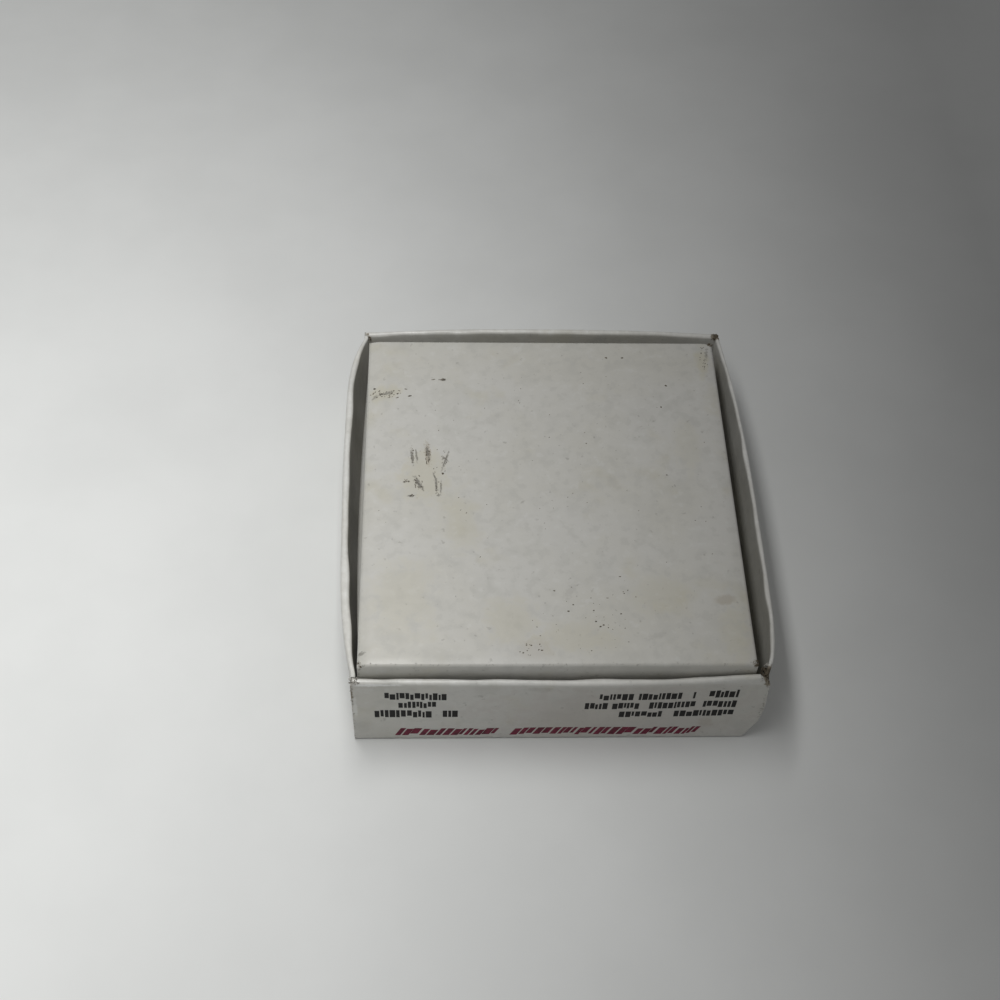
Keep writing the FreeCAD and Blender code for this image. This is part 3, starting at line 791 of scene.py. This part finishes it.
# Dark smears: middle on the tray's top, half length and half width, direction, colour and strength.
TRAY_SMEARS = tuple(
    (on_tray(x, y), (long, wide, 1.5), turn, tint, strength)
    for x, y, long, wide, turn, tint, strength in (
        (-29.5, 9.2, 2.7, 0.42, 97, GREY, 0.95), (-28.5, 9.3, 2.2, 0.30, 96, GREY, 0.85),
        (-26.1, 10.2, 4.1, 0.85, 95, BROWN, 0.55), (-26.1, 10.2, 2.4, 0.55, 98, GREY, 0.95),
        (-22.3, 7.9, 3.6, 0.36, 73, GREY, 0.85), (-22.2, 8.6, 1.1, 0.3, 130, GREY, 0.8),
        (-31.0, 2.3, 0.5, 0.4, 0, SOOT, 0.7), (-30.1, 2.4, 0.6, 0.3, 0, GREY, 0.8),
        (-28.1, 2.0, 2.2, 0.75, 115, GREY, 0.95), (-27.1, 0.6, 1.0, 0.35, 100, SOOT, 0.6),
        (-24.6, 3.7, 1.7, 0.24, 105, GREY, 0.8), (-24.2, 1.2, 2.5, 0.36, 90, GREY, 0.85),
        (-23.2, 0.8, 2.1, 0.28, 88, GREY, 0.75), (-23.7, -1.3, 0.7, 0.35, 10, GREY, 0.8),
        (-29.7, -1.5, 1.0, 0.45, 8, SOOT, 0.75), (-37.9, 26.0, 1.6, 0.45, 55, GREY, 0.6),
        (-35.2, 27.2, 1.9, 0.5, 20, GREY, 0.75), (-22.8, 31.4, 1.1, 0.5, 0, SOOT, 0.9),
        (38.0, 39.5, 2.4, 0.5, 80, GREY, 0.5), (-39.0, -40.4, 1.2, 0.5, 30, GREY, 0.8),
        (3.0, -26.0, 3.0, 1.2, 60, GREY, 0.16), (20.0, -36.5, 3.2, 1.0, 20, GREY, 0.15),
        (-12.0, 20.0, 3.0, 1.6, 40, GREY, 0.10), (14.0, 2.0, 3.2, 1.4, 120, GREY, 0.10),
    )
)
LID_STAINS_AND_HIGHLIGHT = (
    # Painted highlight: a near-white band along the front rim's left end, where the rim catches the light.
    ((-36.5, -47.6, 22.5), (6.0, 1.5, 0.5), 0, HIGHLIGHT_BRIGHT, 0.95),
    ((-41.2, -47.0, 14.0), (0.6, 2.0, 6.0), 0, CHALK, 0.6),
    ((13.0, -47.9, 11.0), (38.0, 4.0, 17.0), 0, ROSY, 0.34),
    ((31.0, -47.9, 6.5), (4.0, 2.0, 2.2), 0, BROWN, 0.22),
    ((-4.0, -47.9, 21.0), (5.0, 2.0, 1.2), 0, GREY, 0.18),
    ((40.0, -44.0, 12.0), (4.0, 4.0, 5.0), 0, BROWN, 0.15),
    ((-40.0, -46.0, 6.0), (3.0, 3.0, 5.0), 0, GREY, 0.15),
)

tray_piece.data.materials.append(card_material("tray_board", TRAY_STAINS, TRAY_SMEARS))
lid_piece.data.materials.append(card_material("lid_board", LID_STAINS_AND_HIGHLIGHT))
torn_board = plain_material("torn_board", [0.03, 0.025, 0.018, 1], [0.24, 0.20, 0.145, 1], 0.5, 0.9)
pale_board = plain_material("pale_board", [0.26, 0.25, 0.22, 1], [0.62, 0.60, 0.56, 1], 0.5, 0.9)
soil = plain_material("soil", [0.07, 0.06, 0.045, 1], [0.24, 0.21, 0.17, 1], 0.8, 0.85, 0.01)
black_ink = plain_material(
    "black_ink", [0.006, 0.006, 0.006, 1], [0.022, 0.021, 0.020, 1], 1.2, 0.5, 0.004, 0.12,
)
red_ink = plain_material(
    "red_ink", [0.090, 0.010, 0.022, 1], [0.230, 0.028, 0.062, 1], 0.9, 0.5, 0.004, 0.15,
)


# ---------------------------------------------------------------- print on the front wall
INK_THICKNESS = 0.012
# Ranges that the bars' widths and gaps are drawn from, in stems, and the shares of full height.
BAR_WIDTHS, BAR_GAPS = (0.6, 1.7), (0.22, 0.40)
BAR_HEIGHTS = [0.78, 0.9, 1.0]


def stroke(mesh, left, right, low, high, lean=0.0):
    """One short bar of ink lying on the front wall, from its outer face's own curve."""
    wall = lid.walls["front"]
    rows = []
    for part in np.linspace(0, 1, 3):
        run = left + (right - left) * part + lid.across / 2
        rows.append([
            wall.place(run + lean * (level - low), -INK_THICKNESS, level).reshape(3)
            for level in np.linspace(low, high, 4)
        ])
    mesh.grid(np.array(rows), flip=True)


def ink_line(mesh, left, right, middle, height, stem, gaps=(), lean=0.0):
    """A row of bars of uneven width, broken by wider gaps: ink with no letters in it."""
    x = left
    while x < right - stem:
        width = stem * TURNS.uniform(*BAR_WIDTHS)
        if not any(low < x + width / 2 < high for low, high in gaps):
            tall = height * TURNS.choice(BAR_HEIGHTS)
            low = middle - height / 2 + (height - tall) * TURNS.choice([0.0, 1.0])
            stroke(mesh, x, min(x + width, right), low, low + tall, lean)
        x += width + stem * TURNS.uniform(*BAR_GAPS)


# Lines of print: left and right ends, middle height, height, width of a stem, and the wider gaps.
BLACK_LINES = (
    (-35.2, -22.1, 18.2, 2.8, 0.66),
    (-32.5, -24.9, 14.8, 2.6, 0.66),
    (-37.4, -19.7, 11.0, 3.0, 0.74, ((-26.0, -23.8),)),
    (8.0, 36.5, 18.1, 2.6, 0.66, ((14.5, 16.0), (24.5, 26.5), (28.0, 30.0))),
    (5.3, 36.9, 14.3, 2.7, 0.64, ((10.0, 11.0), (16.5, 18.0), (27.5, 29.0))),
    (12.6, 36.7, 10.6, 2.5, 0.72, ((22.0, 23.4),)),
)
RED_LINE = (-33.5, 29.9, 3.3, 3.0, 1.0, ((-12.7, -10.2),))
RED_LEAN = 0.45

print_black, print_red = Mesh(), Mesh()
for line in BLACK_LINES:
    ink_line(print_black, *line)
ink_line(print_red, *RED_LINE, lean=RED_LEAN)
for name, mesh, ink in (("black_print", print_black, black_ink), ("red_print", print_red, red_ink)):
    piece = mesh.build(name)
    piece.data.materials.append(ink)
    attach(piece, "lid")


# ---------------------------------------------------------------- dirt on the tray
FLECK_THICKNESS = 0.008


def fleck(mesh, x, y, long, wide, turn):
    """A flat irregular speck lying on the tray's face."""
    count = TURNS.randint(6, 9)
    angles = np.linspace(0, 2 * np.pi, count, endpoint=False) + TURNS.uniform(-0.25, 0.25, count)
    reach = TURNS.uniform(0.55, 1.0, count)
    local = np.stack([np.cos(angles) * reach * long / 2, np.sin(angles) * reach * wide / 2], -1)
    cos, sin = math.cos(turn), math.sin(turn)
    across = local[:, 0] * cos - local[:, 1] * sin + x
    along = local[:, 0] * sin + local[:, 1] * cos + y
    below = dent_tray(np.stack([across, -along, np.zeros(count)], -1))[:, 2]
    mesh.polygon(np.stack([
        across + tray_spot[0], along + tray_spot[1], TRAY_TOP - below + FLECK_THICKNESS,
    ], -1))


def scuff(mesh, x, y, wide, tall, count, long, thin, lean=90.0):
    """A cluster of flecks drawn out one way."""
    for _ in range(count):
        radius, turn = math.sqrt(TURNS.uniform()), TURNS.uniform(0, 2 * math.pi)
        scale = TURNS.uniform(0.5, 1.2)
        fleck(
            mesh, x + radius * math.cos(turn) * wide, y + radius * math.sin(turn) * tall,
            long * scale, thin * scale, math.radians(lean + TURNS.uniform(-14, 14)),
        )


# Scuffs: middle on the tray's top, half width and half height, number of flecks, their length and
# width, and their direction in degrees where it isn't 90.
SCUFFS = (
    (-29.4, 9.2, 0.45, 2.2, 16, 0.7, 0.20),
    (-26.0, 9.6, 0.55, 3.1, 26, 0.8, 0.24),
    (-22.5, 8.0, 0.7, 2.9, 16, 0.6, 0.16, 75),
    (-30.6, 2.5, 0.8, 0.5, 8, 0.5, 0.26, 60),
    (-28.0, 2.0, 0.9, 1.9, 24, 0.6, 0.28, 110),
    (-29.6, -1.4, 0.9, 0.35, 9, 0.55, 0.3, 20),
    (-24.6, 3.7, 0.2, 1.4, 6, 0.6, 0.14, 105),
    (-23.8, 0.8, 0.6, 2.0, 16, 0.6, 0.18, 86),
    (-36.5, 26.8, 2.7, 1.2, 34, 0.55, 0.30, 30),
    (-33.2, 27.2, 1.7, 1.3, 14, 0.55, 0.34, 20),
    (37.2, 38.3, 0.9, 4.0, 18, 0.5, 0.28, 60),
    (6.0, -33.0, 12.0, 7.0, 28, 0.32, 0.20, 0),
    (8.0, -29.0, 9.0, 6.0, 12, 0.55, 0.40, 20),
    (-5.0, -39.5, 3.0, 1.6, 16, 0.5, 0.34, 30),
    (0.0, 0.0, 37.0, 40.0, 80, 0.34, 0.22, 45),
)
# Single specks: middle on the tray's top, length and width.
SPECKS = (
    (-22.8, 4.5, 0.7, 0.65), (-38.1, 28.5, 0.9, 0.6), (-31.1, 28.5, 0.8, 0.5), (-30.2, 26.5, 1.1, 0.5),
    (-24.9, 31.4, 1.3, 0.35), (-22.7, 31.4, 1.6, 0.6), (14.7, 38.2, 0.8, 0.6), (18.4, 38.2, 0.9, 0.55),
    (27.8, 29.8, 0.9, 0.6), (26.1, 23.5, 0.6, 0.5), (8.7, 13.1, 0.5, 0.35), (25.7, 4.3, 0.7, 0.35),
    (13.6, -22.2, 0.8, 0.35), (-0.1, -25.6, 0.6, 0.4), (3.6, -29.0, 0.6, 0.35), (7.7, -30.4, 0.5, 0.4),
)

dirt = Mesh()
for place in SCUFFS:
    scuff(dirt, *place)
for place in SPECKS:
    fleck(dirt, *place, TURNS.uniform(-0.4, 0.4))
dirt_piece = dirt.build("tray_soil")
dirt_piece.data.materials.append(soil)
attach(dirt_piece, "tray")


# ---------------------------------------------------------------- torn corners
CHIP_THICKNESS = 0.12
CHIP_CORNERS = ((-1, -1), (-1, 1), (1, 1), (1, -1))


def chips(mesh, centre, outward, count, spread, long, wide):
    """Torn board at a corner: short bent flakes of card standing out of a small patch."""
    for _ in range(count):
        root = centre + TURNS.uniform(-1, 1, 3) * spread
        lean = np.array(outward) * TURNS.uniform(0.3, 1.0) + TURNS.uniform(-0.7, 0.7, 3)
        lean /= np.linalg.norm(lean)
        across = np.cross(lean, TURNS.uniform(-1, 1, 3))
        across /= np.linalg.norm(across)
        face = np.cross(lean, across)
        length, width = long * TURNS.uniform(0.5, 1.1), wide * TURNS.uniform(0.5, 1.1)
        bend = TURNS.uniform(-0.6, 0.6) * length
        rows = []
        for part in np.linspace(0, 1, 4):
            middle = root + lean * length * part + face * bend * part * part
            half = across * width / 2 * (1 - 0.35 * part) * TURNS.uniform(0.7, 1.15)
            rows.append([
                middle + turn * half + side * CHIP_THICKNESS / 2 * face for side, turn in CHIP_CORNERS
            ])
        mesh.grid(np.array(rows), closed=True, ends=True)


def frayed(name, body, material, groups, low, high):
    """A piece of chips in several groups, kept within a box."""
    mesh = Mesh()
    for group in groups:
        chips(mesh, *group)
    mesh.points = [np.clip(points, low, high) for points in mesh.points]
    piece = mesh.build(name)
    piece.data.materials.append(material)
    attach(piece, body)


# Each group: middle, direction, number of chips, how far they scatter, and their length and width.
UP = np.array([0.0, 0.0, 1.0])
frayed("lid_torn_corners", "lid", torn_board, (
    (corner_spot(lid, RIGHT, FRONT, 0.9, 2.1, 22.5), (0.1, 0.1, 0.2), 44, (0.55, 1.6, 0.35), 0.5, 0.9),
    (corner_spot(lid, RIGHT, FRONT, 1.1, 0.6, 22.3), (0.1, 0.1, 0.2), 14, (0.6, 0.25, 0.35), 0.4, 0.7),
    (corner_spot(lid, RIGHT, REAR, 0.8, 0.9, 22.7), (0.1, 0.1, 0.2), 36, (0.75, 0.8, 0.35), 0.4, 0.8),
    (corner_spot(lid, LEFT, REAR, 1.2, 1.7, 22.8), (0.3, -0.4, 0.1), 7, (0.5, 0.4, 0.3), 0.4, 0.5),
), lid_low, lid_high + 0.9 * UP)
frayed("lid_frayed_edge", "lid", pale_board, (
    (corner_spot(lid, LEFT, FRONT, 0.8, 0.6, 23.0), (-0.3, -0.2, 0.3), 22, (0.8, 0.6, 0.3), 0.6, 0.8),
    (corner_spot(lid, LEFT, FRONT, 0.15, 0.2, 19.0), (-0.4, -0.3, 0.1), 18, (0.12, 0.12, 3.2), 0.4, 0.4),
    (corner_spot(lid, RIGHT, FRONT, 2.1, 0.6, 23.7), (0.4, -0.2, 0.2), 8, (0.4, 0.4, 0.2), 0.6, 0.7),
    (corner_spot(lid, RIGHT, FRONT, 0.4, 4.2, 23.2), (0.1, -0.8, 0.2), 8, (0.4, 0.3, 0.2), 0.6, 0.7),
    (corner_spot(lid, LEFT, REAR, 0.8, 0.9, 22.9), (0.0, 0.1, 0.3), 18, (0.5, 0.5, 0.3), 0.4, 0.6),
), lid_low, lid_high + 1.1 * UP)
frayed("tray_torn_corners", "tray", torn_board, (
    (corner_spot(tray, LEFT, FRONT, 0.5, 0.5, TRAY_TOP - 0.6),
     (-0.4, -0.4, 0.1), 8, (0.4, 0.4, 0.2), 0.5, 0.5),
    (corner_spot(tray, RIGHT, FRONT, 0.5, 0.6, TRAY_TOP - 0.9),
     (0.3, -0.3, 0.1), 16, (0.5, 0.8, 0.4), 0.6, 0.6),
    (corner_spot(tray, RIGHT, REAR, 0.9, 0.3, TRAY_TOP - 0.6),
     (0.3, 0.3, 0.1), 18, (1.0, 0.3, 0.3), 0.6, 0.6),
), tray_low, tray_high - 0.02 * UP)


# ---------------------------------------------------------------- glass and paper
def glass_material():
    """Clear faces, frosted and greener where the edges are ground."""
    nodes = Nodes("slide_glass")
    normal = nodes.add("ShaderNodeNewGeometry").outputs["True Normal"]
    along = nodes.add("ShaderNodeSeparateXYZ", {"Vector": normal}).outputs["Y"]
    ground = nodes.spread(nodes.math("ABSOLUTE", along), 0.95, 0.75)
    frost = nodes.noise(nodes.position(), 0.12, detail=3)
    frosted = nodes.mix(frost, [0.52, 0.66, 0.60, 1], [0.78, 0.88, 0.83, 1])
    colour = nodes.mix(ground, [0.93, 0.97, 0.95, 1], frosted)
    nodes.put(nodes.shader.inputs["Base Color"], colour)
    nodes.put(nodes.shader.inputs["Roughness"], nodes.spread(ground, 0, 1, 0.03, 0.45))
    nodes.put(nodes.shader.inputs["Transmission Weight"], nodes.spread(ground, 0, 1, 0.95, 0.35))
    nodes.put(nodes.shader.inputs["IOR"], 1.52)
    nodes.put(nodes.shader.inputs["Normal"], nodes.bump(nodes.math("MULTIPLY", frost, ground), 0.03, 0.5))
    return nodes.material


def assign(node, material):
    """Give a CAD node's mesh this material all over."""
    piece = bpy.data.objects[node]
    if not piece.material_slots:
        piece.data.materials.append(material)
    for slot in piece.material_slots:
        slot.material = material


assign("glass_slides", glass_material())
assign("separator_papers", plain_material(
    "tissue", [0.78, 0.76, 0.70, 1], [0.86, 0.85, 0.80, 1], 3.0, 0.8, 0.02,
))

# ---------------------------------------------------------------- floor, light and camera
FLOOR_REACH = 1500.0
floor_mesh = Mesh()
floor_mesh.polygon([(x * FLOOR_REACH, y * FLOOR_REACH, 0) for x, y in ((-1, -1), (1, -1), (1, 1), (-1, 1))])
floor = floor_mesh.build("floor")
floor.data.materials.append(plain_material(
    "floor_white", [0.79, 0.80, 0.79, 1], [0.83, 0.84, 0.83, 1], 40.0, 0.75, 0.05,
))


def lamp(name, place, target, size, power, colour):
    """A flat lamp at a place, facing its target, in metres and watts."""
    data = bpy.data.lights.new(name, "AREA")
    data.shape, data.size, data.size_y = "RECTANGLE", size[0], size[1]
    data.energy, data.color = power, colour
    light = bpy.data.objects.new(name, data)
    light.location = place
    light.rotation_euler = (Vector(target) - Vector(place)).to_track_quat("-Z", "Y").to_euler()
    bpy.context.scene.collection.objects.link(light)


LAMP_PLACE, LAMP_TARGET = (-0.08, -0.03, 0.32), (-0.58, -0.03, 0.0)
LAMP_SIZE, LAMP_POWER, LAMP_COLOUR = (0.22, 0.22), 1.26, (1.0, 1.0, 0.99)
SKY_STRENGTH = 0.16
lamp("ceiling", LAMP_PLACE, LAMP_TARGET, LAMP_SIZE, LAMP_POWER, LAMP_COLOUR)
world = bpy.data.worlds.new("studio")
world.use_nodes = True
sky = world.node_tree.nodes["Background"]
sky.inputs["Color"].default_value = (1, 1, 1, 1)
sky.inputs["Strength"].default_value = SKY_STRENGTH
bpy.context.scene.world = world

AZIMUTH, ELEVATION, ROLL = (math.radians(angle) for angle in (-3.884, 53.162, 3.182))
DISTANCE, AIM, LENS = 0.35221, Vector((-0.010006, 0.015262, 0.0)), 53.857
back = Vector((
    math.sin(AZIMUTH) * math.cos(ELEVATION), -math.cos(AZIMUTH) * math.cos(ELEVATION), math.sin(ELEVATION),
))
level_right = (-back).cross(Vector((0, 0, 1))).normalized()
level_up = level_right.cross(-back)
right = math.cos(ROLL) * level_right + math.sin(ROLL) * level_up
up = math.cos(ROLL) * level_up - math.sin(ROLL) * level_right
camera_data = bpy.data.cameras.new("camera")
camera_data.lens, camera_data.sensor_width = LENS, 36.0
camera_data.clip_start, camera_data.clip_end = 0.01, 10.0
camera = bpy.data.objects.new("camera", camera_data)
facing = Matrix((right, up, back)).transposed().to_4x4()
camera.matrix_world = Matrix.Translation(AIM + back * DISTANCE) @ facing
bpy.context.scene.collection.objects.link(camera)
bpy.context.scene.camera = camera
bpy.context.scene.view_settings.view_transform = "Standard"
